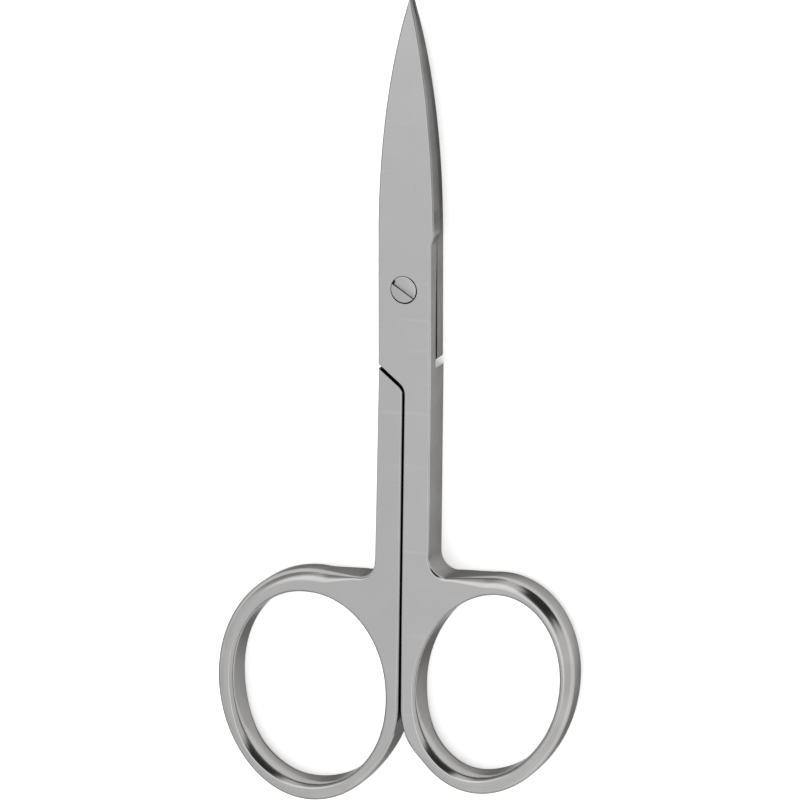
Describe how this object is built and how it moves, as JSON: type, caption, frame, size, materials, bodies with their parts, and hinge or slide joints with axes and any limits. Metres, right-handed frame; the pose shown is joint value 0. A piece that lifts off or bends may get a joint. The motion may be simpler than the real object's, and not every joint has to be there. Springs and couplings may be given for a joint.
{
  "type": "nail scissors",
  "caption": "Straight-bladed steel nail scissors: two forged halves with oval finger rings, crossing at a flush slotted pivot screw.",
  "frame": {"origin": "on the pivot axis, at the flat back of the closed scissors, in the flush end of the pivot screw", "axes": "+Y along the blades towards the tips, +X towards the right finger ring, +Z out of the front face that shows the screw's slotted head"},
  "size_m": [0.0418, 0.0904, 0.004],
  "materials": {
    "front_steel": "satin, finely brushed across the blade",
    "back_steel": "satin, finely brushed across the blade",
    "screw_steel": "satin"
  },
  "bodies": {
    "back": {"back_half": "back_steel", "pivot_screw": "screw_steel"},
    "front": {"front_half": "front_steel"}
  },
  "joints": [
    {"name": "pivot_hinge", "type": "hinge", "parent": "back", "child": "front", "pos_m": [0, 0, 0.002], "axis": [0, 0, 1], "range_deg": [0, 138]}
  ]
}
